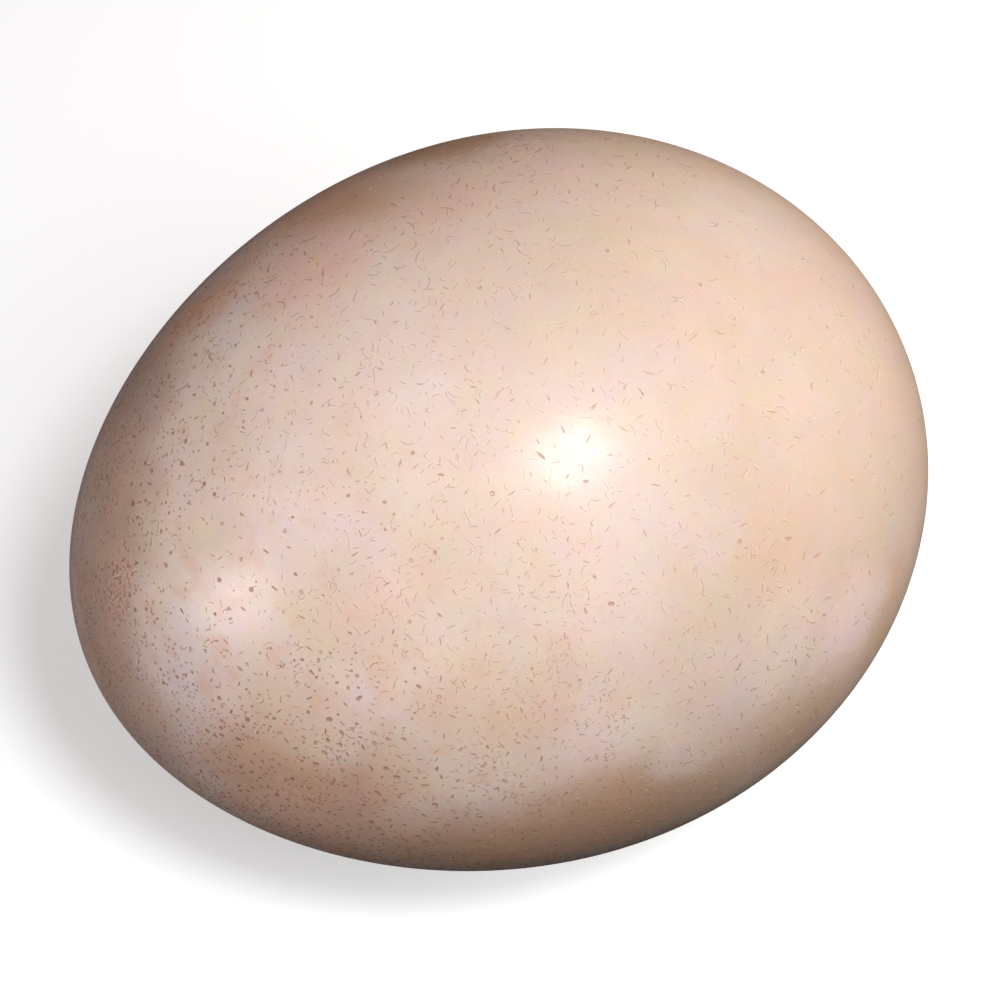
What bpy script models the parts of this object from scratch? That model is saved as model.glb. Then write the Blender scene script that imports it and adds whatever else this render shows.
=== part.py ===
"""A fossil egg that lies on its side: one solid with pore pits and a small flat rest spot.

Metres, +Z up. The egg's long axis is in the XZ plane with the fat end towards +X. The origin is
the middle of the rest spot, straight below the egg's centre of mass.
"""

import math
import random

import bmesh
import bpy
import numpy as np
from mathutils import Matrix, Vector

# Driving dimensions, in metres
EGG_LENGTH = 0.300
MID_WIDTH = 0.2488
REST_SPOT_DEPTH = 0.0011

# Outline: how much the +X half is fuller, and how much both ends draw in, as shares of the width
FAT_END = 0.065
SLIM_ENDS = 0.026

# Pore pits: radius in metres and how many of each, from the smallest
PIT_SIZES = ((0.0008, 100), (0.0010, 90), (0.0012, 50))
PIT_DEPTH_SHARE = 0.7
PIT_SPACING = 0.010
PIT_SLIDE = 0.010
LOWEST_PIT = 0.020
SLIM_END_PITS = 0.65

# Facets
SPHERE_SUBDIVISIONS = 5
OUTLINE_STATIONS = 4001
NEAR_GROUND = 0.0001
ON_PLANE = 0.000001
SEED = 7

# Look of the shell
SHELL_COLOUR = (0.76, 0.60, 0.48, 1.0)
SHELL_ROUGHNESS = 0.35


def clear_scene():
    for found in list(bpy.data.objects):
        bpy.data.objects.remove(found, do_unlink=True)


def width_share(u):
    """Width at u, from -1 at the slim end to 1 at the fat end, over an ellipse's width there."""
    return 1 + FAT_END * u - SLIM_ENDS * u * u


def level_point(direction):
    """Where a direction from the middle meets the egg's surface while its long axis is level."""
    across = MID_WIDTH / 2 * width_share(direction.x)
    return Vector((direction.x * EGG_LENGTH / 2, direction.y * across, direction.z * across))


def rest_placement():
    """Turns the level egg until its centre of mass is over its lowest point, and sets it down."""
    u = np.linspace(-1, 1, OUTLINE_STATIONS)[1:-1]
    along = u * EGG_LENGTH / 2
    radius = np.sqrt(1 - u * u) * width_share(u) * MID_WIDTH / 2
    centre_of_mass = (along * radius**2).sum() / (radius**2).sum()
    slope = np.gradient(radius, along)
    normal_meets_axis = along + radius * slope
    touch = np.interp(centre_of_mass, normal_meets_axis, along)
    turn = Matrix.Rotation(-math.atan(np.interp(touch, along, slope)), 4, "Y")
    lowest = turn @ Vector((touch, 0, -np.interp(touch, along, radius)))
    return Matrix.Translation(Vector((0, 0, -REST_SPOT_DEPTH)) - lowest) @ turn


def may_hold_pit(place, chooser):
    """Pits thin out from the slim end to the fat end, and none is near the rest spot."""
    share = 0.5 - place.x / EGG_LENGTH
    return place.z > LOWEST_PIT and chooser.random() < share**SLIM_END_PITS


def choose_pits(mesh, placement, chooser):
    """Vertices of the round mesh for the pits, each slid a little off its regular place."""
    candidates = list(mesh.verts)
    chooser.shuffle(candidates)
    wanted = sum(count for _, count in PIT_SIZES)
    chosen, places = [], []
    for vertex in candidates:
        place = placement @ level_point(vertex.co)
        clear = all((place - other).length > PIT_SPACING for other in places)
        if clear and may_hold_pit(place, chooser):
            chosen.append(vertex)
            places.append(place)
        if len(chosen) == wanted:
            break
    for vertex in chosen:
        vertex.co += Vector([chooser.uniform(-PIT_SLIDE, PIT_SLIDE) for _ in range(3)])
    return chosen


def sink_pits(mesh, chosen):
    """Gives each of these vertices a six-sided rim and a low point in its middle."""
    first = 0
    for radius, count in PIT_SIZES:
        group = chosen[first : first + count]
        first += count
        rims = bmesh.ops.bevel(
            mesh,
            geom=group,
            offset=radius,
            offset_type="OFFSET",
            segments=1,
            profile=0.5,
            affect="VERTICES",
            material=-1,
        )["faces"]
        bmesh.ops.poke(mesh, faces=rims, offset=-PIT_DEPTH_SHARE * radius)


def cut_rest_spot(mesh):
    """Cuts the underside off level at the ground, and closes the cut with one flat face."""
    for vertex in mesh.verts:
        if abs(vertex.co.z) < NEAR_GROUND:
            vertex.co.z = 0
    cut = bmesh.ops.bisect_plane(
        mesh,
        geom=mesh.verts[:] + mesh.edges[:] + mesh.faces[:],
        dist=ON_PLANE,
        plane_co=(0, 0, 0),
        plane_no=(0, 0, 1),
        clear_inner=True,
    )["geom_cut"]
    rim = [found for found in cut if isinstance(found, bmesh.types.BMEdge)]
    bmesh.ops.contextual_create(mesh, geom=rim)


def shell_material():
    material = bpy.data.materials.new("shell")
    material.use_nodes = True
    shader = material.node_tree.nodes["Principled BSDF"]
    shader.inputs["Base Color"].default_value = SHELL_COLOUR
    shader.inputs["Roughness"].default_value = SHELL_ROUGHNESS
    shader.inputs["Metallic"].default_value = 0.0
    return material


def make_egg():
    chooser = random.Random(SEED)
    mesh = bmesh.new()
    bmesh.ops.create_icosphere(mesh, subdivisions=SPHERE_SUBDIVISIONS, radius=1.0)
    placement = rest_placement()
    pores = choose_pits(mesh, placement, chooser)
    for vertex in mesh.verts:
        vertex.co = placement @ level_point(vertex.co.normalized())
    sink_pits(mesh, pores)
    cut_rest_spot(mesh)
    bmesh.ops.recalc_face_normals(mesh, faces=mesh.faces[:])
    data = bpy.data.meshes.new("egg")
    mesh.to_mesh(data)
    mesh.free()
    data.shade_smooth()
    data.set_sharp_from_angle(angle=math.radians(20))
    egg = bpy.data.objects.new("egg", data)
    egg.data.materials.append(shell_material())
    bpy.context.scene.collection.objects.link(egg)
    return egg


clear_scene()
make_egg()
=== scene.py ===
import math
import random

import bmesh
import bpy
import numpy as np
from mathutils import Matrix, Vector, noise


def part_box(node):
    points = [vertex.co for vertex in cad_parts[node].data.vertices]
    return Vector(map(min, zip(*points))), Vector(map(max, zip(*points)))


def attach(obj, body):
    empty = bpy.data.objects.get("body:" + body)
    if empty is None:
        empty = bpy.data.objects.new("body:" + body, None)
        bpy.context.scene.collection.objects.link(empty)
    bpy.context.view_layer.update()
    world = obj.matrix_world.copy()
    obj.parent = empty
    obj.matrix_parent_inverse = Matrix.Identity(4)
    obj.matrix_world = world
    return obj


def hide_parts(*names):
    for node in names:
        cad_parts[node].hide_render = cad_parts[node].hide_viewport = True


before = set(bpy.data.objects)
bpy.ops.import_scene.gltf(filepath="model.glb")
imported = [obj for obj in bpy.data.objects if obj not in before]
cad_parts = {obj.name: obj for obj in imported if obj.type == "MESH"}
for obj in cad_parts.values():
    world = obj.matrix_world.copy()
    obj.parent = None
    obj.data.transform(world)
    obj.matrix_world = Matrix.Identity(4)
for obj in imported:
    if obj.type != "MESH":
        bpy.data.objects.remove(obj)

bl_info = {
    "name": "Fossil Egg",
    "version": (1, 0, 0),
    "blender": (4, 5, 0),
    "location": "3D View > Sidebar > Fossil Egg",
    "description": "A stone egg with pores, slits and stained, glossy shell, and a pale studio",
    "category": "Object",
}

# The egg lies on its side with the fat end towards +X. A direction from its middle is given as
# u along the axis, from -1 at the slim end to 1 at the fat end, and degrees round the axis, from
# 0 at the top to 90 at the side that faces -Y.

# Outline, as in the solid: sizes as shares of the frame's box, then how the width changes
EGG_LOW, EGG_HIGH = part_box("egg")
EGG_SIDES = EGG_HIGH - EGG_LOW
LENGTH_SHARE = 1.0031
WIDTH_SHARE = 0.9982
REST_SPOT_DEPTH = 0.0011
FAT_END = 0.065
SLIM_ENDS = 0.026
OUTLINE_STATIONS = 4001

# Mesh of the shell: crowding makes the facets smaller where the pores are
SPHERE_SUBDIVISIONS = 7
CROWDING = 0.28
FACET_JITTER = 0.004
NEAR_GROUND = 0.0001
ON_PLANE = 0.000001
TRIANGLE_LIMIT = 198000
TRIANGLES_PER_PORE = 12
TRIANGLES_PER_RING = 22
FIRST_RADIUS = 0.0003
SHORTEST_EDGE = 0.0010

# Most corners of any face but the rest spot
MOST_CORNERS = 8

MILLIMETRE = 0.001
SQUARE_CENTIMETRE = 0.0001


class EggShape(bpy.types.PropertyGroup):
    """Outer sizes of the egg."""

    length: bpy.props.FloatProperty(
        name="Length",
        description="Length of the egg along its own axis",
        default=EGG_SIDES.x * LENGTH_SHARE,
        unit="LENGTH",
        subtype="DISTANCE",
    )
    width: bpy.props.FloatProperty(
        name="Width",
        description="Width halfway along",
        default=EGG_SIDES.y * WIDTH_SHARE,
        unit="LENGTH",
        subtype="DISTANCE",
    )
    seed: bpy.props.IntProperty(
        name="Seed",
        description="Picks another layout of the pores",
        default=7,
        min=0,
    )


class PoreShape(bpy.types.PropertyGroup):
    """Sizes and numbers of the pores."""

    density: bpy.props.FloatProperty(
        name="Density",
        description="Pores in a square centimetre where they are thickest",
        default=13.0,
        min=0.0,
    )
    dot_radius: bpy.props.FloatProperty(
        name="Dot Radius",
        description="Radius of a middling round pore",
        default=0.44 * MILLIMETRE,
        unit="LENGTH",
        subtype="DISTANCE",
    )
    slit_length: bpy.props.FloatProperty(
        name="Slit Length",
        description="Length of a middling slit",
        default=2.9 * MILLIMETRE,
        unit="LENGTH",
        subtype="DISTANCE",
    )
    slit_width: bpy.props.FloatProperty(
        name="Slit Width",
        description="Width of a middling slit",
        default=0.44 * MILLIMETRE,
        unit="LENGTH",
        subtype="DISTANCE",
    )
    depth: bpy.props.FloatProperty(
        name="Depth",
        description="Depth of a pore, as a share of its half width",
        default=0.6,
        min=0.0,
        subtype="FACTOR",
    )


def colour_property(name, description, default):
    return bpy.props.FloatVectorProperty(
        name=name,
        description=description,
        default=default,
        size=3,
        min=0.0,
        max=1.0,
        subtype="COLOR",
    )


class ShellColours(bpy.types.PropertyGroup):
    """Colours of the shell, of what has stained it, and of painted glints, sheen and shade."""

    cream: colour_property("Cream", "Shell at the slim end", (0.86, 0.655, 0.55))
    sand: colour_property("Sand", "Shell at the fat end", (0.76, 0.56, 0.43))
    rose: colour_property("Rose", "Pink-brown clouds", (0.85, 0.53, 0.43))
    rust: colour_property("Rust", "Orange-brown clouds", (0.79, 0.46, 0.32))
    ochre: colour_property("Ochre", "Yellow-brown clouds", (0.80, 0.585, 0.43))
    clay: colour_property("Clay", "Brown earth near the ground", (0.62, 0.36, 0.220))
    lilac: colour_property("Lilac", "Cool, pale clouds", (0.80, 0.62, 0.555))
    ash: colour_property("Ash", "Grey-white, worn places", (0.90, 0.70, 0.62))
    # Painted light: a bluish tint for a reflection below the low-left highlight, and a grey tint
    # for shade along the top rim
    painted_sheen_and_shade: colour_property("Mist", "Bluish, worn place", (0.79, 0.66, 0.64))
    umber: colour_property("Umber", "Dirt worked into the slim end", (0.61, 0.415, 0.325))
    stain: colour_property("Stain", "Earth in the slim end's pores", (0.38, 0.18, 0.11))
    # Painted shade: the dark earth that pores and strokes take on near the floor
    painted_shade_earth: colour_property("Peat", "Darkest earth, in the shade under the egg", (0.24, 0.10, 0.06))
    mauve: colour_property("Mauve", "Fainter stain in the other pores", (0.50, 0.28, 0.19))
    # Painted highlight: pale lines beside the strokes that stand in for glints on the pore rims
    painted_glint: colour_property("Chalk", "Worn edges beside the pores", (0.97, 0.85, 0.77))


class StudioSettings(bpy.types.PropertyGroup):
    """Floor, lamps and camera."""

    floor_radius: bpy.props.FloatProperty(
        name="Floor Radius",
        description="Radius of the round floor",
        default=6.0,
        unit="LENGTH",
        subtype="DISTANCE",
    )
    floor_colour: colour_property("Floor", "Colour of the floor", (0.90, 0.90, 0.89))
    lens: bpy.props.FloatProperty(
        name="Lens",
        description="Focal length of the camera, in millimetres",
        default=85.0,
        min=1.0,
    )
    brightness: bpy.props.FloatProperty(
        name="Brightness",
        description="Scales every lamp",
        default=1.0,
        min=0.0,
        subtype="FACTOR",
    )


# Shape of the egg


def width_share(u):
    """Width at u over an ellipse's width there."""
    return 1 + FAT_END * u - SLIM_ENDS * u * u


def level_point(shape, direction):
    """Where a direction from the middle meets the surface while the egg's long axis is level."""
    across = shape.width / 2 * width_share(direction.x)
    return Vector((direction.x * shape.length / 2, direction.y * across, direction.z * across))


def rest_placement(shape):
    """Turns the level egg until its centre of mass is over its lowest point, and sets it down."""
    u = np.linspace(-1, 1, OUTLINE_STATIONS)[1:-1]
    along = u * shape.length / 2
    radius = np.sqrt(1 - u * u) * width_share(u) * shape.width / 2
    centre_of_mass = (along * radius**2).sum() / (radius**2).sum()
    slope = np.gradient(radius, along)
    normal_meets_axis = along + radius * slope
    touch = np.interp(centre_of_mass, normal_meets_axis, along)
    turn = Matrix.Rotation(-math.atan(np.interp(touch, along, slope)), 4, "Y")
    lowest = turn @ Vector((touch, 0, -np.interp(touch, along, radius)))
    return Matrix.Translation(Vector((0, 0, -REST_SPOT_DEPTH)) - lowest) @ turn


def direction_at(u, degrees):
    """Unit direction at u along the axis and this many degrees round it."""
    ring = math.sqrt(max(0.0, 1 - u * u))
    angle = math.radians(degrees)
    return Vector((u, -ring * math.sin(angle), ring * math.cos(angle)))


def surface_point(shape, u, degrees):
    """Point of the resting egg's surface at u and this many degrees round the axis."""
    return rest_placement(shape) @ level_point(shape, direction_at(u, degrees))


def crowded(direction):
    """Slides a direction towards the slim end, and keeps small triangles in shape."""
    share = 1 - CROWDING * direction.x
    side = math.sqrt(1 - CROWDING**2)
    slid = Vector((direction.x - CROWDING, direction.y * side, direction.z * side)) / share
    return slid.normalized()


def smooth_ramp(value, low, high):
    """0 below low, 1 above high, and a smooth rise between."""
    share = min(1.0, max(0.0, (value - low) / (high - low)))
    return share * share * (3 - 2 * share)


# Pores

# Crest of the egg, where the pores are smallest: u and degrees round the axis
CREST = (0.0, 20)

# Bare place with few pores: u, degrees round the axis, and radius in metres
BARE = (-0.60, 25, 0.036)

# Crackled place full of short strokes: u, degrees round the axis, and radius in metres
CRACKLED = (-0.845, 12, 0.012)

# Nests of closely set pores: u, degrees round the axis, and radius in metres
NESTS = (
    (-0.83, 12, 0.016),
    (-0.88, 5, 0.013),
    (-0.74, 54, 0.018),
    (-0.67, 66, 0.020),
    (-0.52, 57, 0.018),
    (-0.45, 69, 0.020),
    (-0.33, 47, 0.016),
    (-0.17, 70, 0.022),
    (0.22, 84, 0.022),
    (-0.56, -36, 0.022),
    (-0.38, -40, 0.026),
    (-0.24, -38, 0.020),
)

# Largest pits: u, degrees round the axis, half length and half width in millimetres
GOUGES = (
    (-0.82, 17, 1.1, 0.8),
    (-0.80, 13, 1.0, 0.7),
    (-0.72, 16, 1.0, 0.8),
    (-0.70, 14, 0.8, 0.7),
    (-0.72, 26, 1.4, 0.4),
    (-0.73, 53, 1.6, 0.8),
    (-0.67, 52, 1.5, 0.8),
    (-0.76, 56, 1.1, 0.7),
    (-0.71, 58, 1.2, 0.8),
    (-0.82, 43, 0.9, 0.7),
    (-0.44, 50, 1.2, 0.7),
    (-0.38, 59, 1.0, 0.6),
    (-0.31, 50, 1.0, 0.6),
    (-0.23, 63, 1.0, 0.6),
    (-0.17, 63, 1.0, 0.6),
    (-0.14, 65, 1.1, 0.6),
    (-0.21, 70, 1.1, 0.7),
    (-0.17, 74, 1.2, 0.6),
)

# Density, as shares of the most: lost towards the fat end, left along the top, lost low down
# and in the bare place, and added in a nest. A fade is where a change starts and ends.
FAT_END_LOSS = 0.97
FAT_END_FADE = (-0.35, 0.80)
TOP_DENSITY = 0.5
TOP_DEGREES = 5
TOP_FADE = (5, 55)
LOW_LOSS = 0.15
LOW_FAT_END_LOSS = 0.35
LOW_FAT_END_FADE = (-0.1, 0.4)
LOW_HEIGHT = 0.11
LOW_FADE = (0, 0.05)
LOWEST_PORE = 0.004
BARE_LOSS = 0.85
NEST_GAIN = 1.1

# Noise that gathers the pores: scale in waves a metre, and strength
CLUSTERS = (45, 0.9)
FINE_CLUSTERS = (130, 0.7)
SLIT_PATCHES = (60, 0.25)
LEAST_CLUSTER = 0.1

# Kinds: share of slits at the slim end and what is added away from it, of wells, and of rings
SLITS_AT_TIP = 0.25
SLIT_GAIN = 0.68
SLIT_FADE = (-0.75, -0.1)
WELL_SHARE = 0.12
NEST_WELLS = 0.5
RING_SHARE = 0.04

# Size over a middling pore's: at the crest, and what is added at these distances from it
CREST_SIZE = 0.85
FLANK_GAIN = 0.80
FLANK_FADE = (0.06, 0.14)
FAR_GAIN = 0.40
FAR_FADE = (0.12, 0.16)
NEST_DOT_GAIN = 0.60
NEST_WELL_GAIN = 0.35

# How much the sizes vary, and the most of the room round it that each kind may fill
DOT_SPREAD = 0.56
SLIT_LENGTH_SPREAD = 0.38
SLIT_WIDTH_SPREAD = 0.35
DOT_ROOM = 0.48
RING_ROOM = 0.6
WELL_ROOM = 0.68
SLIT_ROOM = 0.72

# Proportions: width over length of dots, rings and wells, and how much rims and slits vary
DOT_OVAL = (0.55, 1.0)
RING_OVAL = (0.7, 1.0)
WELL_OVAL = (0.5, 0.9)
WELL_TAPER = (0.0, 0.5)
WELL_RAGGED = 0.12
SLIT_TAPER = (0.0, 0.4)
SLIT_STOUTEST = 0.45
MOST_BEND = 0.25
SAFE_BEND = 0.8
GOUGE_RAGGED = 0.25

# Half lengths of rings and wells, and a ring's wall, in millimetres
RING_HALF = (0.55, 0.9)
WELL_HALF = (0.50, 0.85)
RING_WALL = 0.26
RING_DEPTH = 0.30

# Strength of the stain in each kind; low down every pore is fully stained as painted shade, and
# made shallower
DOT_STAIN = (0.45, 1.0)
RING_STAIN = (0.6, 1.0)
RING_FLOOR_STAIN = 0.25
WELL_STAIN = (0.65, 1.0)
SLIT_STAIN = (0.40, 1.0)
GOUGE_STAIN = (0.8, 1.0)
SHADE_PAINTED_BELOW = 0.17
FILLED_BELOW = 0.135
FILLED_FADE = (0, 0.045)
FILLED_SHARE = 0.75

# Area that belongs to a vertex of even triangles, over the square of their side
CELL_AREA = 0.866


def inside_share(place, centre, radius):
    """1 at the centre of a round area, 0 outside it, and a smooth change between."""
    return 1 - smooth_ramp((place - centre).length, 0, radius)


class PoreMap:
    """Where the crest, the bare place and the nests are on the resting egg."""

    def __init__(self, shape):
        self.crest = surface_point(shape, *CREST)
        self.bare = (surface_point(shape, *BARE[:2]), BARE[2])
        self.nests = [(surface_point(shape, u, degrees), radius) for u, degrees, radius in NESTS]

    def bare_share(self, place):
        """How far inside the bare place this is, from 0 to 1."""
        return inside_share(place, *self.bare)

    def nest_share(self, place):
        """How far inside the nearest nest this is, from 0 to 1."""
        return max(inside_share(place, centre, radius) for centre, radius in self.nests)

    def flank_size(self, place):
        """How large the pores are here, over a middling pore's size."""
        away = (place - self.crest).length
        flank, far = smooth_ramp(away, *FLANK_FADE), smooth_ramp(away, *FAR_FADE)
        return CREST_SIZE + FLANK_GAIN * flank + FAR_GAIN * far


def patches(place, scale, strength):
    """Smooth noise around 0."""
    return strength * noise.noise(place * scale)


def pore_share(direction, place):
    """How thick the pores are here, from 0 to 1."""
    degrees = math.degrees(math.atan2(-direction.y, direction.z))
    thinning = 1 - FAT_END_LOSS * smooth_ramp(direction.x, *FAT_END_FADE)
    away_from_top = smooth_ramp(abs(degrees - TOP_DEGREES), *TOP_FADE)
    top = TOP_DENSITY + (1 - TOP_DENSITY) * away_from_top
    low_loss = LOW_LOSS + LOW_FAT_END_LOSS * smooth_ramp(direction.x, *LOW_FAT_END_FADE)
    low = 1 - low_loss * smooth_ramp(LOW_HEIGHT - place.z, *LOW_FADE)
    clusters = 1 + patches(place, *CLUSTERS) + patches(place, *FINE_CLUSTERS)
    above_ground = 1 if place.z > LOWEST_PORE else 0
    return thinning * top * low * above_ground * max(LEAST_CLUSTER, clusters)


def slit_share(direction, place):
    """Share of the pores here that are slits, more of them away from the slim end."""
    away_from_tip = smooth_ramp(direction.x, *SLIT_FADE)
    return SLITS_AT_TIP + SLIT_GAIN * away_from_tip + patches(place, *SLIT_PATCHES)


def area_round(vertex):
    """Area of shell that belongs to a vertex, in square centimetres."""
    edges = vertex.link_edges
    side = sum(edge.calc_length() for edge in edges) / len(edges)
    return CELL_AREA * side**2 / SQUARE_CENTIMETRE


def nearest_vertex(mesh, place):
    return min(mesh.verts, key=lambda vertex: (vertex.co - place).length_squared)


def choose_pores(mesh, directions, pore_map, gouges, density, chooser):
    """Vertices for round pores, ringed pits, wells and slits. Only round pores crowd together."""
    spots = list(mesh.verts)
    chooser.shuffle(spots)
    budget = TRIANGLE_LIMIT - len(mesh.faces)
    dots, rings, wells, slits = [], [], [], []
    taken, lonely = set(gouges), set(gouges)
    for vertex in spots:
        direction, place = directions[vertex.index], vertex.co
        shortest = min(edge.calc_length() for edge in vertex.link_edges)
        if vertex in taken or shortest < SHORTEST_EDGE:
            continue
        nested = pore_map.nest_share(place)
        share = pore_share(direction, place) * (1 - BARE_LOSS * pore_map.bare_share(place))
        share += NEST_GAIN * nested
        if chooser.random() > density * share * area_round(vertex):
            continue
        neighbours = {edge.other_vert(vertex) for edge in vertex.link_edges}
        if neighbours & lonely:
            continue
        alone = not neighbours & taken
        if chooser.random() < slit_share(direction, place):
            if not alone:
                continue
            kind = slits
        elif alone and chooser.random() < WELL_SHARE + NEST_WELLS * nested:
            kind = wells
        elif alone and chooser.random() < RING_SHARE:
            kind = rings
        else:
            kind = dots
        kind.append(vertex)
        taken.add(vertex)
        if kind is not dots:
            lonely.add(vertex)
        budget -= TRIANGLES_PER_RING if kind is rings else TRIANGLES_PER_PORE
        if budget < TRIANGLES_PER_RING:
            break
    return dots, rings, wells, slits


def in_order(faces):
    """Sorts faces by place, since an operator can return them in another order each run."""
    return sorted(faces, key=lambda face: face.calc_center_median().to_tuple())


def open_faces(mesh, vertices):
    """Turns each vertex into a small face, six-sided at nearly all of them."""
    faces = bmesh.ops.bevel(
        mesh,
        geom=vertices,
        offset=FIRST_RADIUS,
        offset_type="OFFSET",
        segments=1,
        profile=0.5,
        affect="VERTICES",
        material=-1,
    )["faces"]
    return in_order(faces)


def room_round(face):
    """Distance from a small face's middle to the nearest corner of the shell round it."""
    rim = set(face.edges)
    spokes = {edge for corner in face.verts for edge in corner.link_edges} - rim
    return FIRST_RADIUS + min(edge.calc_length() for edge in spokes)


def stretch_face(face, along, across, degrees, bend=0.0, taper=0.0):
    """Gives a small face these half lengths, turns it, bends its long axis, and thins one end."""
    centre = face.calc_center_median()
    normal = face.normal.copy()
    first = normal.orthogonal().normalized()
    axis = Matrix.Rotation(math.radians(degrees), 3, normal) @ first
    side = normal.cross(axis)
    for vertex in face.verts:
        offset = vertex.co - centre
        angle = math.atan2(offset.dot(side), offset.dot(axis))
        far, wide = math.cos(angle), math.sin(angle)
        sideways = across * wide * (1 - taper * far) + bend * along * (1 - far * far)
        vertex.co = centre + axis * (along * far) + side * sideways


def roughen_rim(face, amount, chooser):
    """Moves each corner of a small face nearer to its middle or away from it."""
    centre = face.calc_center_median()
    for vertex in face.verts:
        vertex.co = centre + (vertex.co - centre) * chooser.uniform(1 - amount, 1 + amount)


def sink_faces(mesh, faces, depth_share, stain, strength, chooser):
    """Gives each face a low point in its middle, and stains its walls. Low down, it is made
    shallower, and its walls get the full stain as painted shade.
    """
    middles = bmesh.ops.poke(mesh, faces=faces)["verts"]
    for middle in sorted(middles, key=lambda vertex: vertex.co.to_tuple()):
        # Painted shade: walls low down get the full stain
        painted_shade = smooth_ramp(SHADE_PAINTED_BELOW - middle.co.z, 0, SHADE_PAINTED_BELOW / 4)
        filled = FILLED_SHARE * smooth_ramp(FILLED_BELOW - middle.co.z, *FILLED_FADE)
        rim = [edge.other_vert(middle) for edge in middle.link_edges]
        spread = min((other.co - middle.co).length for other in rim)
        walls = middle.link_faces
        normal = sum((wall.normal for wall in walls), Vector()).normalized()
        middle.co -= normal * depth_share * spread * (1 - filled)
        tone = max(painted_shade, chooser.uniform(*strength))
        for wall in walls:
            wall[stain] = tone


def make_dots(mesh, vertices, pores, pore_map, stain, chooser):
    """Round to oval pores, larger in the nests."""
    faces = open_faces(mesh, vertices)
    for face in faces:
        place = face.calc_center_median()
        size = pore_map.flank_size(place) * (1 + NEST_DOT_GAIN * pore_map.nest_share(place))
        radius = pores.dot_radius * size * chooser.lognormvariate(0, DOT_SPREAD)
        radius = min(radius, DOT_ROOM * room_round(face))
        oval = chooser.uniform(*DOT_OVAL)
        stretch_face(face, radius, radius * oval, chooser.uniform(0, 180))
    sink_faces(mesh, faces, pores.depth, stain, DOT_STAIN, chooser)


def make_rings(mesh, vertices, stain, chooser):
    """Larger pits with a dark wall and a paler, flat floor."""
    faces = open_faces(mesh, vertices)
    for face in faces:
        radius = min(chooser.uniform(*RING_HALF) * MILLIMETRE, RING_ROOM * room_round(face))
        oval = chooser.uniform(*RING_OVAL)
        stretch_face(face, radius, radius * oval, chooser.uniform(0, 180))
    walls = bmesh.ops.inset_individual(
        mesh,
        faces=faces,
        thickness=RING_WALL * MILLIMETRE,
        depth=-RING_DEPTH * MILLIMETRE,
        use_even_offset=True,
    )["faces"]
    for wall in in_order(walls):
        wall[stain] = chooser.uniform(*RING_STAIN)
    for floor in faces:
        floor[stain] = RING_FLOOR_STAIN


def make_wells(mesh, vertices, pores, pore_map, stain, chooser):
    """Large, dark pits with ragged rims, some of them drop-shaped."""
    faces = open_faces(mesh, vertices)
    for face in faces:
        place = face.calc_center_median()
        size = pore_map.flank_size(place) * (1 + NEST_WELL_GAIN * pore_map.nest_share(place))
        half = chooser.uniform(*WELL_HALF) * size * MILLIMETRE
        half = min(half, WELL_ROOM * room_round(face))
        taper = chooser.uniform(*WELL_TAPER)
        thin = half * chooser.uniform(*WELL_OVAL)
        stretch_face(face, half, thin, chooser.uniform(0, 360), taper=taper)
        roughen_rim(face, WELL_RAGGED, chooser)
    sink_faces(mesh, faces, pores.depth, stain, WELL_STAIN, chooser)


def make_slits(mesh, vertices, pores, pore_map, stain, chooser):
    """Thin slits, straight or a little bent, that point every way."""
    faces = open_faces(mesh, vertices)
    for face in faces:
        size = pore_map.flank_size(face.calc_center_median())
        spread = chooser.lognormvariate(0, SLIT_LENGTH_SPREAD)
        half = pores.slit_length / 2 * math.sqrt(size) * spread
        half = min(half, SLIT_ROOM * room_round(face))
        thin = pores.slit_width / 2 * size * chooser.lognormvariate(0, SLIT_WIDTH_SPREAD)
        thin = min(thin, SLIT_STOUTEST * half)
        most_bend = min(MOST_BEND, SAFE_BEND * thin / half)
        bend = chooser.uniform(-most_bend, most_bend)
        taper = chooser.uniform(*SLIT_TAPER)
        stretch_face(face, half, thin, chooser.uniform(0, 360), bend, taper)
    sink_faces(mesh, faces, pores.depth, stain, SLIT_STAIN, chooser)


def make_gouges(mesh, vertices, pores, stain, chooser):
    """The largest pits, each at its own place and with a ragged rim."""
    for vertex, (_, _, half, thin) in zip(vertices, GOUGES):
        faces = open_faces(mesh, [vertex])
        for face in faces:
            room = SLIT_ROOM * room_round(face)
            half, thin = min(half * MILLIMETRE, room), min(thin * MILLIMETRE, room)
            stretch_face(face, half, thin, chooser.uniform(0, 360))
            roughen_rim(face, GOUGE_RAGGED, chooser)
        sink_faces(mesh, faces, pores.depth, stain, GOUGE_STAIN, chooser)


def cut_rest_spot(mesh):
    """Cuts the underside off level at the ground, and closes the cut with one flat face."""
    for vertex in mesh.verts:
        if abs(vertex.co.z) < NEAR_GROUND:
            vertex.co.z = 0
    cut = bmesh.ops.bisect_plane(
        mesh,
        geom=mesh.verts[:] + mesh.edges[:] + mesh.faces[:],
        dist=ON_PLANE,
        plane_co=(0, 0, 0),
        plane_no=(0, 0, 1),
        clear_inner=True,
    )["geom_cut"]
    rim = [found for found in cut if isinstance(found, bmesh.types.BMEdge)]
    bmesh.ops.contextual_create(mesh, geom=rim)


def sharpen_rims(mesh, stain):
    """Keeps the smooth shell's shading apart from the pore walls' and from the rest spot's."""
    for face in mesh.faces:
        face.smooth = True
    for edge in mesh.edges:
        depths = {face[stain] > 0 for face in edge.link_faces}
        flat = {len(face.verts) > MOST_CORNERS for face in edge.link_faces}
        edge.smooth = len(depths) == 1 and len(flat) == 1


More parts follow.
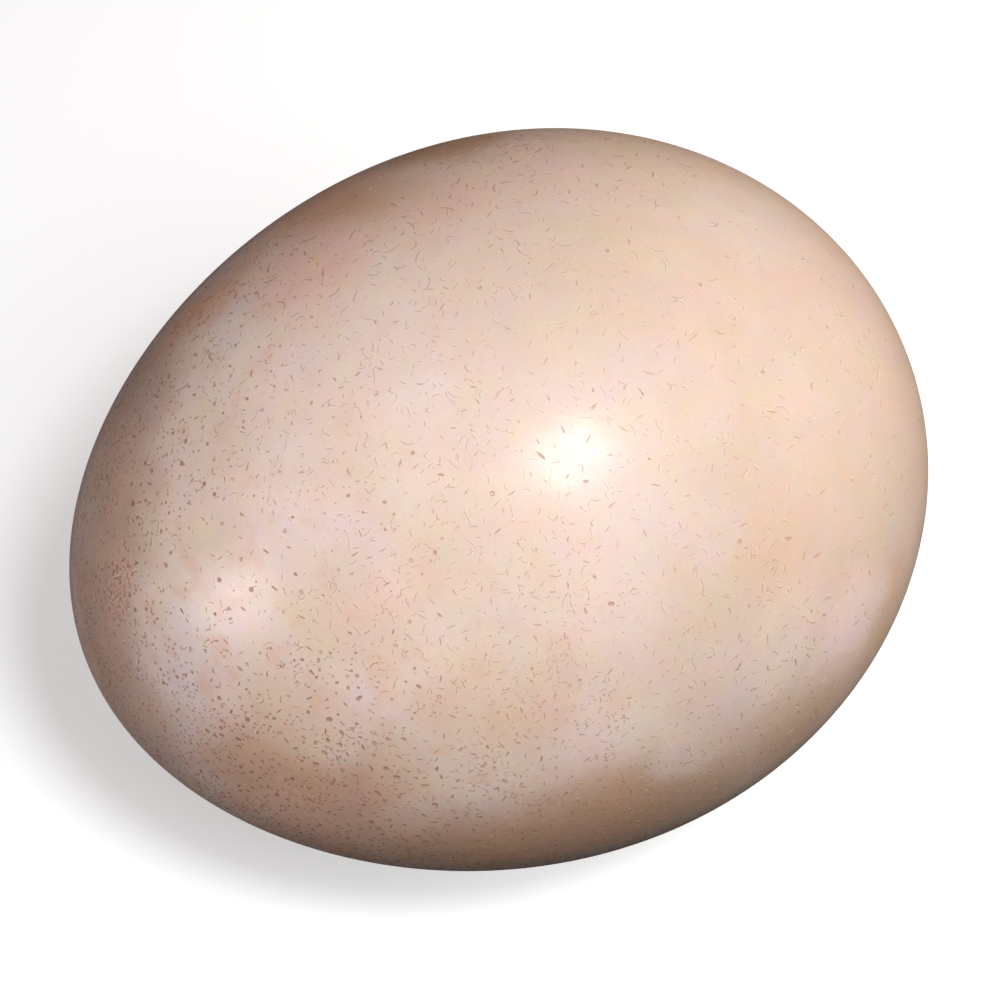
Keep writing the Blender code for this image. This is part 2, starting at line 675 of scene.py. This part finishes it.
def shell_mesh(shape, pores):
    """The egg's outer surface as one closed mesh, with each pore sunk into it."""
    chooser = random.Random(shape.seed)
    placement = rest_placement(shape)
    mesh = bmesh.new()
    stain = mesh.faces.layers.float.new("stain")
    bmesh.ops.create_icosphere(mesh, subdivisions=SPHERE_SUBDIVISIONS, radius=1.0)
    directions = []
    for vertex in mesh.verts:
        jitter = Vector([chooser.uniform(-FACET_JITTER, FACET_JITTER) for _ in range(3)])
        directions.append(crowded((vertex.co + jitter).normalized()))
        vertex.co = placement @ level_point(shape, directions[-1])
    mesh.verts.index_update()
    pore_map = PoreMap(shape)
    gouges = [nearest_vertex(mesh, surface_point(shape, *spot[:2])) for spot in GOUGES]
    dots, rings, wells, slits = choose_pores(
        mesh, directions, pore_map, gouges, pores.density, chooser
    )
    make_gouges(mesh, gouges, pores, stain, chooser)
    make_slits(mesh, slits, pores, pore_map, stain, chooser)
    make_rings(mesh, rings, stain, chooser)
    make_wells(mesh, wells, pores, pore_map, stain, chooser)
    make_dots(mesh, dots, pores, pore_map, stain, chooser)
    cut_rest_spot(mesh)
    bmesh.ops.recalc_face_normals(mesh, faces=mesh.faces[:])
    sharpen_rims(mesh, stain)
    data = bpy.data.meshes.new("egg_shell")
    mesh.to_mesh(data)
    mesh.free()
    return data


# Materials

# Where a shift moves noise
SHIFT_STEP = (1.0, 0.7, -1.0)


class Signal:
    """A number that changes over a surface. Arithmetic on it adds Math nodes."""

    def __init__(self, recipe, socket):
        self.recipe = recipe
        self.socket = socket

    def __add__(self, other):
        return self.recipe.maths("ADD", self, other)

    def __sub__(self, other):
        return self.recipe.maths("SUBTRACT", self, other)

    def __rsub__(self, other):
        return self.recipe.maths("SUBTRACT", other, self)

    def __mul__(self, other):
        return self.recipe.maths("MULTIPLY", self, other)

    def __truediv__(self, other):
        return self.recipe.maths("DIVIDE", self, other)

    def __abs__(self):
        return self.recipe.maths("ABSOLUTE", self)

    __radd__ = __add__
    __rmul__ = __mul__


class Recipe:
    """The nodes of one material."""

    def __init__(self, name):
        self.material = bpy.data.materials.new(name)
        self.material.use_nodes = True
        self.tree = self.material.node_tree
        self.shader = self.tree.nodes["Principled BSDF"]

    def node(self, kind, settings=None, inputs=None):
        """Adds a node, applies its settings, then sets or links its sockets."""
        added = self.tree.nodes.new(kind)
        for key, value in (settings or {}).items():
            setattr(added, key, value)
        for key, value in (inputs or {}).items():
            self.plug(self.find(added.inputs, key), value)
        return added

    def find(self, sockets, key):
        """A socket by its number, identifier or name."""
        if isinstance(key, int):
            return sockets[key]
        for socket in sockets:
            if socket.identifier == key:
                return socket
        return sockets[key]

    def plug(self, socket, value):
        """Links a signal or socket, or sets a plain value."""
        if isinstance(value, Signal):
            value = value.socket
        if isinstance(value, bpy.types.NodeSocket):
            self.tree.links.new(value, socket)
        else:
            socket.default_value = value

    def signal(self, added, key):
        return Signal(self, self.find(added.outputs, key))

    def maths(self, operation, *values):
        added = self.node("ShaderNodeMath", {"operation": operation}, dict(enumerate(values)))
        return self.signal(added, 0)

    def vector(self, operation, *values):
        """Vector maths with a vector as its result."""
        settings = {"operation": operation}
        return self.node("ShaderNodeVectorMath", settings, dict(enumerate(values))).outputs[0]

    def number(self, operation, *values):
        """Vector maths with a number as its result, such as a distance."""
        settings = {"operation": operation}
        added = self.node("ShaderNodeVectorMath", settings, dict(enumerate(values)))
        return self.signal(added, "Value")

    def ramp(self, value, low, high, start=0.0, end=1.0):
        """Start below low, end above high, and a smooth change between."""
        settings = {"interpolation_type": "SMOOTHSTEP"}
        limits = {"From Min": low, "From Max": high, "To Min": start, "To Max": end}
        added = self.node("ShaderNodeMapRange", settings, {"Value": value, **limits})
        return self.signal(added, "Result")

    def blend(self, share, under, over):
        """Lays one colour over another."""
        settings = {"data_type": "RGBA", "blend_type": "MIX"}
        colours = {"Factor_Float": share, "A_Color": rgba(under), "B_Color": rgba(over)}
        added = self.node("ShaderNodeMix", settings, colours)
        return self.find(added.outputs, "Result_Color")

    def clouds(self, place, scale, detail=2.0, roughness=0.5, shift=0.0):
        """Soft noise around 0.5. A shift picks another part of the pattern."""
        if shift:
            place = self.vector("ADD", place, tuple(shift * share for share in SHIFT_STEP))
        inputs = {"Vector": place, "Scale": scale, "Detail": detail, "Roughness": roughness}
        return self.signal(self.node("ShaderNodeTexNoise", None, inputs), 0)


def rgba(colour):
    """Adds alpha to a plain colour, and leaves a socket alone."""
    return colour if isinstance(colour, bpy.types.NodeSocket) else (*colour, 1.0)


# Clouds of colour on the shell: colour, u, degrees round the axis, radius in metres, strength
CLOUDS = (
    ("rose", -0.26, -22, 0.026, 0.80),
    ("rust", -0.13, -37, 0.028, 1.00),
    ("rust", 0.02, -24, 0.022, 0.45),
    ("rose", 0.25, -27, 0.030, 0.40),
    # Partly the top rim's own redder colour, partly painted shade where the back lamp lights the
    # rim
    ("clay", 0.13, -44, 0.022, 0.80),
    ("clay", 0.17, -39, 0.016, 0.60),
    ("clay", -0.08, -31, 0.016, 0.50),
    ("rust", -0.46, -38, 0.024, 1.00),
    # Painted shade: a grey tint along the top rim
    ("painted_sheen_and_shade", -0.42, -46, 0.016, 0.50),
    ("rose", -0.16, -19, 0.018, 0.45),
    ("umber", -0.66, -31, 0.024, 0.85),
    ("umber", -0.76, -18, 0.026, 0.80),
    ("umber", -0.79, -2, 0.020, 1.00),
    ("umber", -0.88, 8, 0.022, 1.00),
    ("umber", -0.92, 30, 0.024, 0.95),
    ("umber", -0.90, 62, 0.024, 0.60),
    ("ash", -0.40, -9, 0.022, 0.60),
    ("ash", -0.47, 14, 0.026, 0.60),
    ("ochre", -0.52, 1, 0.018, 0.35),
    ("ash", -0.10, 15, 0.026, 0.55),
    ("ochre", -0.61, 14, 0.014, 0.60),
    ("ash", -0.71, 36, 0.022, 0.55),
    # Painted reflection: a bluish tint below the low-left lamp's highlight
    ("painted_sheen_and_shade", -0.76, 38, 0.022, 0.50),
    ("rust", -0.84, 11, 0.010, 0.50),
    ("rust", -0.35, 38, 0.014, 0.30),
    ("clay", -0.70, 67, 0.022, 0.72),
    ("clay", -0.56, 72, 0.022, 0.76),
    ("clay", -0.44, 65, 0.018, 0.40),
    ("clay", -0.62, 60, 0.014, 0.40),
    ("rust", -0.66, 88, 0.026, 0.70),
    ("ochre", -0.57, 53, 0.022, 0.60),
    ("clay", -0.50, 89, 0.026, 0.52),
    ("clay", -0.30, 89, 0.032, 0.84),
    ("clay", -0.05, 87, 0.032, 0.88),
    ("clay", 0.14, 89, 0.026, 0.60),
    ("clay", 0.42, 88, 0.026, 0.45),
    ("rust", 0.68, 80, 0.022, 0.40),
    ("ash", 0.05, 66, 0.020, 0.60),
    ("lilac", 0.29, 66, 0.020, 0.70),
    ("ash", 0.11, 47, 0.022, 0.50),
    ("ash", 0.60, 74, 0.020, 0.80),
    ("ash", 0.40, 70, 0.014, 0.40),
    ("ash", 0.46, 60, 0.018, 0.40),
    ("rust", 0.46, 51, 0.018, 0.35),
    ("lilac", 0.27, 41, 0.018, 0.60),
    # Painted highlight: a lilac tint for the lavender halo round the key lamp's highlight
    ("lilac", 0.19, 30, 0.020, 0.60),
    ("lilac", -0.16, 42, 0.018, 0.50),
    ("lilac", -0.29, 60, 0.018, 0.50),
    ("ochre", -0.43, 35, 0.018, 0.60),
    ("ochre", -0.18, 33, 0.016, 0.55),
    ("ochre", -0.19, 55, 0.022, 0.65),
    ("lilac", 0.70, -11, 0.026, 0.40),
    ("ash", 0.22, 14, 0.022, 0.28),
    ("ash", 0.12, 37, 0.018, 0.28),
    ("ash", 0.36, 21, 0.022, 0.35),
    ("ash", -0.40, 47, 0.012, 0.40),
    ("ochre", 0.20, 60, 0.018, 0.40),
    ("ochre", 0.42, 2, 0.024, 0.60),
    ("ochre", 0.38, 18, 0.016, 0.40),
    ("ochre", 0.02, 2, 0.020, 0.35),
    ("ochre", -0.02, 18, 0.014, 0.35),
    ("rust", -0.10, 60, 0.012, 0.25),
    ("rust", -0.29, 53, 0.012, 0.25),
    ("ash", -0.62, 10, 0.012, 0.40),
    ("ash", 0.16, 76, 0.014, 0.50),
)


# A change is four numbers: where it starts and ends, then its values there. Noise is its scale
# in waves a metre, then its detail, roughness and shift, or the first few of these.

# Warp that makes the edges of the clouds uneven, with its reach in metres
WARP_SCALE = 38.0
WARP_DETAIL = 3.0
WARP_REACH = 0.030

# From cream at the slim end to sand at the fat end
CREAM_TO_SAND = (-0.35, 0.45, 0.0, 1.0)

# Patches all over the shell: colour, scale and shift
PATCHES = (("lilac", 24.0, 3.0), ("ochre", 32.0, 7.0))
PATCH_DETAIL = 3.0
PATCH_CHANGE = (0.50, 0.72, 0.0, 0.45)

# Even middle and soft edge of a cloud, as shares of its radius
CLOUD_MIDDLE = 0.25
CLOUD_EDGE = 1.35

# Tints: scale, detail, and how much red, green and blue vary
TINTS = ((26.0, 3.0, (0.14, 0.13, 0.32)), (100.0, 4.0, (0.20, 0.20, 0.38)))
TINT_ROUGHNESS = 0.72

# Fine grain in the colour, and rusty grime
GRAIN = (1300.0, 2.0, 0.6)
GRAIN_STRENGTH = 0.16
GRIME = (95.0, 3.0, 0.6, 5.0)
GRIME_CHANGE = (0.50, 0.66, 0.0, 0.42)
GRIME_FADE = (-0.75, -0.1, 1.0, 0.15)
LOW_GRIME = 0.4

# Sides that are low and high in the photo's view, and face -Y and +Y
LOW_SIDE = (0.05, 0.11, 0.0, 1.0)
LOW_SIDE_FADE = (-0.2, 0.4, 1.0, 0.2)
HIGH_SIDE = (-0.02, 0.06, 0.0, 1.0)

# How much broader strokes are away from the crest, and how they crowd together in places
BREADTH = (0.06, 0.14, 0.9, 1.5)
CROWDS = (55.0, 2.0)
CROWD_CHANGE = (0.35, 0.65, 0.3, 1.7)

# Hairlines: cell, length and width in metres, share of the cells that hold one, and strength
HAIR_CELL = 0.0036
HAIR_LENGTH = 0.0032
HAIR_WIDTH = 0.00040
HAIR_SHARE = (-0.8, -0.4, 0.08, 0.33)
HAIR_FADE = (-0.1, 0.9, 1.0, 0.1)
HAIR_CRACKLE = 0.7
HAIR_STRENGTH = 0.58
# Strength of the painted glint beside each hairline
HAIR_GLINT = 0.5

# Arcs, which are more, wider and stronger on the high side
ARC_CELL = 0.0070
ARC_LENGTH = 0.0070
ARC_WIDTH = 0.00042
HIGH_ARC_WIDTH = 0.00022
ARC_SHARE = (-0.7, -0.2, 0.10, 0.32)
ARC_FADE = (0.1, 0.9, 1.0, 0.15)
HIGH_ARC_SHARE = 0.12
ARC_STRENGTH = 0.42
HIGH_ARC_STRENGTH = 0.30
# Strength of the painted glint beside each arc
ARC_GLINT = 0.35

# Specks, which are more on the low side and fewer in the bare place
SPECK_CELL = 0.0024
SPECK_LENGTH = 0.0012
SPECK_WIDTH = 0.00062
SPECK_SHARE = (-0.9, -0.1, 0.30, 0.04)
LOW_SPECK_SHARE = 0.18
SPECK_CLEARING = (0.010, BARE[2], 0.3, 1.0)
SPECK_STRENGTH = 0.66
# Strength of the painted glint beside each speck
SPECK_GLINT = 0.3

# Any stroke: multiples that turn a cell's colour into a direction, the shortest over the
# longest, how far one curls, and how its presence, ends, line and painted glint fade
REMIX = (17.0, 23.0, 31.0)
SHORTEST_STROKE = 0.3
CURL = 2.2
PRESENCE = (0.0, 0.04, 0.0, 1.0)
STROKE_ENDS = (0.3, 0.5, 1.0, 0.0)
LINE_EDGE = (0.2, 0.7, 1.0, 0.0)
GLINT_EDGE = (0.1, 0.6, 1.0, 0.0)

# Where the crackled place thins out, and what takes the painted glints away: the ground and both
# sides
CRACKLE = (0.004, CRACKLED[2], 1.0, 0.0)
GLINT_FADE = (0.09, 0.15, 0.0, 1.0)
LOW_GLINT_LOSS = 0.85
HIGH_GLINT_LOSS = 0.6

# Earth in the pores and strokes, and how strongly it stains; near the floor it is darker and
# stronger, as painted shade
STAIN_TO_MAUVE = (-0.65, -0.1, 0.0, 1.0)
PAINTED_SHADE_CHANGE = (0.070, 0.120, 0.90, 0.0)
PAINTED_SHADE_FADE = (-0.8, -0.5, 0.0, 1.0)
STAIN_FADE = (-0.5, 0.4, 0.92, 0.70)
PAINTED_SHADE_NEAR_FLOOR = (0.07, 0.11, 0.20, 0.0)

# Roughness of the gloss, its cloudy change, and what a stain adds
SHELL_ROUGHNESS = 0.33
DULLING = (90.0, 3.0, 0.6)
DULLING_SPREAD = 0.14
STAIN_ROUGHNESS = 0.25

# Fine relief: dents, and the same grain as in the colour
DENTS = (220.0, 2.0, 0.5)
DENT_HEIGHT = 0.10
GRAIN_HEIGHT = 0.012
BUMP_STRENGTH = 0.35


class ShellZones:
    """Signals that say where on the shell a point is."""

    def __init__(self, recipe, shape):
        placement = rest_placement(shape)
        axis = placement.to_3x3() @ Vector((1, 0, 0))
        self.recipe = recipe
        self.shape = shape
        self.place = recipe.node("ShaderNodeTexCoord").outputs["Object"]
        from_middle = recipe.vector("SUBTRACT", self.place, tuple(placement.translation))
        self.outwards = recipe.vector("NORMALIZE", from_middle)
        self.along = recipe.number("DOT_PRODUCT", from_middle, tuple(axis)) / (shape.length / 2)
        self.above_floor = self.towards((0.0, 0.0, 1.0))
        self.high_side = recipe.ramp(self.towards((0.0, 1.0, 0.0)), *HIGH_SIDE)
        self.low_side = recipe.ramp(self.towards((0.0, -1.0, 0.0)), *LOW_SIDE)
        self.low_side = self.low_side * recipe.ramp(self.along, *LOW_SIDE_FADE)
        self.breadth = recipe.ramp(self.away_from(CREST), *BREADTH)
        self.crowd = recipe.ramp(recipe.clouds(self.place, *CROWDS), *CROWD_CHANGE)
        self.crackled = recipe.ramp(self.away_from(CRACKLED), *CRACKLE)

    def towards(self, direction):
        """How far a point is from the origin in this direction, in metres."""
        return self.recipe.number("DOT_PRODUCT", self.place, direction)

    def away_from(self, spot):
        """How far a point is from a spot that is given as u and degrees, in metres."""
        centre = tuple(surface_point(self.shape, *spot[:2]))
        return self.recipe.number("DISTANCE", self.place, centre)


def shell_colour(recipe, zones, colours):
    """Cream shell that turns sandy towards the fat end, with clouds of colour over it."""
    inputs = {"Vector": zones.place, "Scale": WARP_SCALE, "Detail": WARP_DETAIL}
    warp = recipe.node("ShaderNodeTexNoise", None, inputs).outputs["Color"]
    drift = recipe.vector("SUBTRACT", warp, (0.5, 0.5, 0.5))
    drift = recipe.vector("MULTIPLY", drift, (WARP_REACH, WARP_REACH, WARP_REACH))
    warped = recipe.vector("ADD", zones.place, drift)
    base = recipe.blend(recipe.ramp(zones.along, *CREAM_TO_SAND), colours.cream, colours.sand)
    for name, scale, shift in PATCHES:
        patch = recipe.clouds(warped, scale, PATCH_DETAIL, shift=shift)
        base = recipe.blend(recipe.ramp(patch, *PATCH_CHANGE), base, getattr(colours, name))
    for name, u, degrees, radius, strength in CLOUDS:
        centre = tuple(surface_point(zones.shape, u, degrees))
        away = recipe.number("DISTANCE", warped, centre)
        change = (radius * CLOUD_MIDDLE, radius * CLOUD_EDGE, strength, 0.0)
        base = recipe.blend(recipe.ramp(away, *change), base, getattr(colours, name))
    return base


def tinted(recipe, place, base, scale, detail, spread):
    """Shifts a colour towards pink, yellow or green, patch by patch, as in old shell."""
    settings = {"Vector": place, "Scale": scale, "Detail": detail, "Roughness": TINT_ROUGHNESS}
    cloud = recipe.node("ShaderNodeTexNoise", None, settings).outputs["Color"]
    shift = recipe.vector("SUBTRACT", cloud, (0.5, 0.5, 0.5))
    gain = recipe.vector("ADD", recipe.vector("MULTIPLY", shift, spread), (1.0, 1.0, 1.0))
    return recipe.vector("MULTIPLY", base, gain)


def weathered(recipe, zones, base, grain, colours):
    """Tints, fine grain, and rusty grime that is thickest at the slim end."""
    for tint in TINTS:
        base = tinted(recipe, zones.place, base, *tint)
    base = recipe.vector("MULTIPLY", base, grain * GRAIN_STRENGTH + (1 - GRAIN_STRENGTH / 2))
    grimy = recipe.ramp(zones.along, *GRIME_FADE) + zones.low_side * LOW_GRIME
    grime = recipe.ramp(recipe.clouds(zones.place, *GRIME), *GRIME_CHANGE)
    return recipe.blend(grime * grimy, base, colours.rust)


def strokes(recipe, zones, cell, length, width, share):
    """Thin curved strokes that point every way, at most one in each cell, and a pale painted glint
    beside each.
    """
    settings = {"Vector": zones.place, "Scale": 1 / cell}
    cells = recipe.node("ShaderNodeTexVoronoi", {"feature": "F1"}, settings)
    chance = cells.outputs["Color"]
    parts = recipe.node("ShaderNodeSeparateColor", None, {0: chance})
    pick, size, curl = (recipe.signal(parts, channel) for channel in range(3))
    spread = recipe.vector("FRACTION", recipe.vector("MULTIPLY", chance, REMIX))
    heading = recipe.vector("SUBTRACT", spread, (0.5, 0.5, 0.5))
    lead = recipe.vector("NORMALIZE", recipe.vector("CROSS_PRODUCT", zones.outwards, heading))
    side = recipe.vector("CROSS_PRODUCT", zones.outwards, lead)
    away = recipe.vector("SUBTRACT", zones.place, cells.outputs["Position"])
    reach = length * (size * (1 - SHORTEST_STROKE) + SHORTEST_STROKE)
    far = recipe.number("DOT_PRODUCT", away, lead) / reach
    bow = (curl - 0.5) * far * far * (length * CURL)
    off = (recipe.number("DOT_PRODUCT", away, side) + bow) / width
    present = recipe.ramp(share - pick, *PRESENCE) * recipe.ramp(abs(far), *STROKE_ENDS)
    line = recipe.ramp(abs(off), *LINE_EDGE) * present
    # A pale line beside the stroke, painted as a glint on its rim
    glint_line = recipe.ramp(abs(off - 1.0), *GLINT_EDGE) * present
    return line, glint_line


def hairlines(recipe, zones):
    """Short strokes, most of them in the middle of the egg and in the crackled place."""
    share = zones.crowd * recipe.ramp(zones.along, *HAIR_SHARE)
    share = share * recipe.ramp(zones.along, *HAIR_FADE) + zones.crackled * HAIR_CRACKLE
    width = zones.breadth * HAIR_WIDTH
    return strokes(recipe, zones, HAIR_CELL, HAIR_LENGTH, width, share)


def arcs(recipe, zones):
    """Longer strokes, wider and more of them on the high side."""
    share = zones.crowd * recipe.ramp(zones.along, *ARC_SHARE)
    share = share * recipe.ramp(zones.along, *ARC_FADE) + zones.high_side * HIGH_ARC_SHARE
    width = zones.breadth * (zones.high_side * HIGH_ARC_WIDTH + ARC_WIDTH)
    return strokes(recipe, zones, ARC_CELL, ARC_LENGTH, width, share)


def specks(recipe, zones):
    """The shortest strokes, most of them at the slim end and in the crackled place."""
    cleared = recipe.ramp(zones.away_from(BARE), *SPECK_CLEARING)
    share = recipe.ramp(zones.along, *SPECK_SHARE) + zones.low_side * LOW_SPECK_SHARE
    share = share * zones.crowd * cleared + zones.crackled
    length, width = zones.breadth * SPECK_LENGTH, zones.breadth * SPECK_WIDTH
    return strokes(recipe, zones, SPECK_CELL, length, width, share)


def lined(recipe, zones, base, earth, colours):
    """Draws the strokes in the colour of earth, each with a pale line beside it, a painted glint.
    """
    hair, hair_glint = hairlines(recipe, zones)
    arc, arc_glint = arcs(recipe, zones)
    speck, speck_glint = specks(recipe, zones)
    # Painted highlight: pale glints beside the strokes, taken away near the floor and on both sides
    painted_glints = hair_glint * HAIR_GLINT + arc_glint * ARC_GLINT + speck_glint * SPECK_GLINT
    painted_glints = painted_glints * recipe.ramp(zones.above_floor, *GLINT_FADE)
    painted_glints = painted_glints * (1 - zones.low_side * LOW_GLINT_LOSS - zones.high_side * HIGH_GLINT_LOSS)
    base = recipe.blend(painted_glints, base, colours.painted_glint)
    arc = arc * (zones.high_side * HIGH_ARC_STRENGTH + ARC_STRENGTH)
    return recipe.blend(hair * HAIR_STRENGTH + arc + speck * SPECK_STRENGTH, base, earth)


def earth_and_painted_shade(recipe, zones, colours):
    """Earth that is fainter away from the slim end, and turns darker near the floor as painted
    shade.
    """
    earth = recipe.blend(recipe.ramp(zones.along, *STAIN_TO_MAUVE), colours.stain, colours.mauve)
    shaded = recipe.ramp(zones.above_floor, *PAINTED_SHADE_CHANGE) * recipe.ramp(zones.along, *PAINTED_SHADE_FADE)
    return recipe.blend(shaded, earth, colours.painted_shade_earth)


def stained(recipe, zones, base, stain, earth):
    """Colours the pores with earth, as strongly as their faces say, and more strongly near the
    floor as painted shade.
    """
    strength = recipe.ramp(zones.along, *STAIN_FADE) + recipe.ramp(zones.above_floor, *PAINTED_SHADE_NEAR_FLOOR)
    return recipe.blend(stain * strength, base, earth)


def shell_material(shape, colours):
    """Glossy stone shell with stained pores, hairlines and specks."""
    recipe = Recipe("egg_shell")
    zones = ShellZones(recipe, shape)
    grain = recipe.clouds(zones.place, *GRAIN)
    settings = {"attribute_name": "stain", "attribute_type": "GEOMETRY"}
    stain = recipe.signal(recipe.node("ShaderNodeAttribute", settings), "Fac")
    earth = earth_and_painted_shade(recipe, zones, colours)
    base = shell_colour(recipe, zones, colours)
    base = weathered(recipe, zones, base, grain, colours)
    base = lined(recipe, zones, base, earth, colours)
    base = stained(recipe, zones, base, stain, earth)
    recipe.plug(recipe.shader.inputs["Base Color"], base)
    dulling = (recipe.clouds(zones.place, *DULLING) - 0.5) * DULLING_SPREAD
    roughness = SHELL_ROUGHNESS + dulling + stain * STAIN_ROUGHNESS
    recipe.plug(recipe.shader.inputs["Roughness"], roughness)
    height = grain * GRAIN_HEIGHT + recipe.clouds(zones.place, *DENTS) * DENT_HEIGHT
    relief = {"Strength": BUMP_STRENGTH, "Distance": MILLIMETRE, "Height": height}
    bump = recipe.node("ShaderNodeBump", None, relief)
    recipe.plug(recipe.shader.inputs["Normal"], bump.outputs["Normal"])
    return recipe.material


# Surface of the floor
FLOOR_ROUGHNESS = 0.9
FLOOR_GLOW = 0.45


def floor_material(colour):
    """Pale, even floor that glows a little, so that it stays pale away from the lamps."""
    recipe = Recipe("studio_floor")
    recipe.plug(recipe.shader.inputs["Base Color"], (*colour, 1.0))
    recipe.plug(recipe.shader.inputs["Roughness"], FLOOR_ROUGHNESS)
    recipe.plug(recipe.shader.inputs["Emission Color"], (*colour, 1.0))
    recipe.plug(recipe.shader.inputs["Emission Strength"], FLOOR_GLOW)
    recipe.material.cycles.emission_sampling = "NONE"
    return recipe.material


# Studio

# Camera: where it stands round the egg, and the point it looks at
CAMERA_AZIMUTH = -19.1
CAMERA_ELEVATION = 60.0
CAMERA_DISTANCE = 0.8172
CAMERA_AIM_HEIGHT = 0.124
CAMERA_AIM_RIGHT = -0.0029
CAMERA_AIM_UP = 0.0007
SENSOR_WIDTH = 36.0

# Lamps: name, azimuth, elevation, distance and radius in metres, watts, colour, and whether
# the shell mirrors it
LAMPS = (
    ("key", 12.8, 68.3, 1.00, 0.10, 5.0, (0.96, 0.98, 1.00), True),
    ("front", 30.0, 52.0, 1.10, 0.30, 5.6, (0.97, 0.99, 1.00), False),
    ("low_left", -79.7, 14.2, 1.00, 0.14, 2.6, (1.00, 0.95, 0.99), True),
    ("right", 93.0, 5.0, 1.10, 0.30, 5.2, (1.00, 0.90, 0.86), False),
    ("back", 148.0, 16.0, 1.20, 0.40, 2.9, (1.00, 0.86, 0.84), False),
)

# Sides of the round floor
FLOOR_SIDES = 64

# Faint, even light from all round
WORLD_COLOUR = (0.90, 0.93, 1.00)
WORLD_STRENGTH = 0.015


def outward(azimuth, elevation):
    """Unit vector towards azimuth degrees from -Y towards +X, and elevation degrees up."""
    turn, rise = math.radians(azimuth), math.radians(elevation)
    level = math.cos(rise)
    return Vector((math.sin(turn) * level, -math.cos(turn) * level, math.sin(rise)))


def facing(position, back):
    """Places an object so that its -Z axis points away from back, with its top upwards."""
    right = Vector((0, 0, 1)).cross(back).normalized()
    turn = Matrix((right, back.cross(right), back)).transposed()
    return Matrix.Translation(position) @ turn.to_4x4()


def add_object(name, data):
    made = bpy.data.objects.new(name, data)
    bpy.context.scene.collection.objects.link(made)
    return made


def add_camera(studio):
    back = outward(CAMERA_AZIMUTH, CAMERA_ELEVATION)
    right = Vector((0, 0, 1)).cross(back).normalized()
    aim = Vector((0, 0, CAMERA_AIM_HEIGHT))
    aim += right * CAMERA_AIM_RIGHT + back.cross(right) * CAMERA_AIM_UP
    data = bpy.data.cameras.new("photo_view")
    data.lens = studio.lens
    data.sensor_width = SENSOR_WIDTH
    data.dof.use_dof = False
    camera = add_object("photo_view", data)
    camera.matrix_world = facing(aim + back * CAMERA_DISTANCE, back)
    bpy.context.scene.camera = camera


def add_lamp(name, azimuth, elevation, distance, radius, watts, colour, mirrored, brightness):
    """A round lamp that points at the egg's middle and can't be seen itself."""
    data = bpy.data.lights.new(name, "AREA")
    data.shape = "DISK"
    data.size = radius * 2
    data.energy = watts * brightness
    data.color = colour
    lamp = add_object(name, data)
    back = outward(azimuth, elevation)
    lamp.matrix_world = facing(Vector((0, 0, CAMERA_AIM_HEIGHT)) + back * distance, back)
    lamp.visible_camera = False
    lamp.visible_glossy = mirrored


def add_floor(studio):
    """A round floor, seen by the camera but kept out of the egg's own light."""
    mesh = bmesh.new()
    bmesh.ops.create_circle(
        mesh, cap_ends=True, segments=FLOOR_SIDES, radius=studio.floor_radius
    )
    data = bpy.data.meshes.new("floor")
    mesh.to_mesh(data)
    mesh.free()
    data.materials.append(floor_material(studio.floor_colour))
    floor = add_object("floor", data)
    floor.visible_diffuse = False
    floor.visible_glossy = False


def set_world():
    world = bpy.data.worlds.new("studio")
    world.use_nodes = True
    background = world.node_tree.nodes["Background"]
    background.inputs["Color"].default_value = (*WORLD_COLOUR, 1.0)
    background.inputs["Strength"].default_value = WORLD_STRENGTH
    bpy.context.scene.world = world
    bpy.context.scene.view_settings.view_transform = "Standard"


class FOSSIL_OT_egg_shell(bpy.types.Operator):
    """Makes the pored shell and lets it stand for the plain egg"""

    bl_idname = "fossil.egg_shell"
    bl_label = "Make Egg Shell"

    def execute(self, context):
        scene = context.scene
        shell = add_object("egg_shell", shell_mesh(scene.egg_shape, scene.pore_shape))
        shell.data.materials.append(shell_material(scene.egg_shape, scene.shell_colours))
        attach(shell, "root")
        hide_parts("egg")
        return {"FINISHED"}


class FOSSIL_OT_studio(bpy.types.Operator):
    """Sets the floor, lamps, world and camera"""

    bl_idname = "fossil.studio"
    bl_label = "Set Studio"

    def execute(self, context):
        studio = context.scene.studio_settings
        add_camera(studio)
        add_floor(studio)
        for lamp in LAMPS:
            add_lamp(*lamp, studio.brightness)
        set_world()
        return {"FINISHED"}


class FOSSIL_PT_sidebar(bpy.types.Panel):
    """Lists the egg's settings and what can be made"""

    bl_idname = "FOSSIL_PT_sidebar"
    bl_label = "Fossil Egg"
    bl_space_type = "VIEW_3D"
    bl_region_type = "UI"
    bl_category = "Fossil Egg"

    def draw(self, context):
        for name in SETTINGS:
            group = getattr(context.scene, name)
            column = self.layout.column(align=True)
            for key in group.__annotations__:
                column.prop(group, key)
        self.layout.operator(FOSSIL_OT_egg_shell.bl_idname)
        self.layout.operator(FOSSIL_OT_studio.bl_idname)


SETTINGS = {
    "egg_shape": EggShape,
    "pore_shape": PoreShape,
    "shell_colours": ShellColours,
    "studio_settings": StudioSettings,
}
CLASSES = (*SETTINGS.values(), FOSSIL_OT_egg_shell, FOSSIL_OT_studio, FOSSIL_PT_sidebar)


def register():
    for made in CLASSES:
        bpy.utils.register_class(made)
    for name, group in SETTINGS.items():
        setattr(bpy.types.Scene, name, bpy.props.PointerProperty(type=group))


def unregister():
    for name in SETTINGS:
        delattr(bpy.types.Scene, name)
    for made in reversed(CLASSES):
        bpy.utils.unregister_class(made)


def main():
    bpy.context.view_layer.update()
    register()
    bpy.ops.fossil.egg_shell()
    bpy.ops.fossil.studio()


if __name__ == "__main__":
    main()
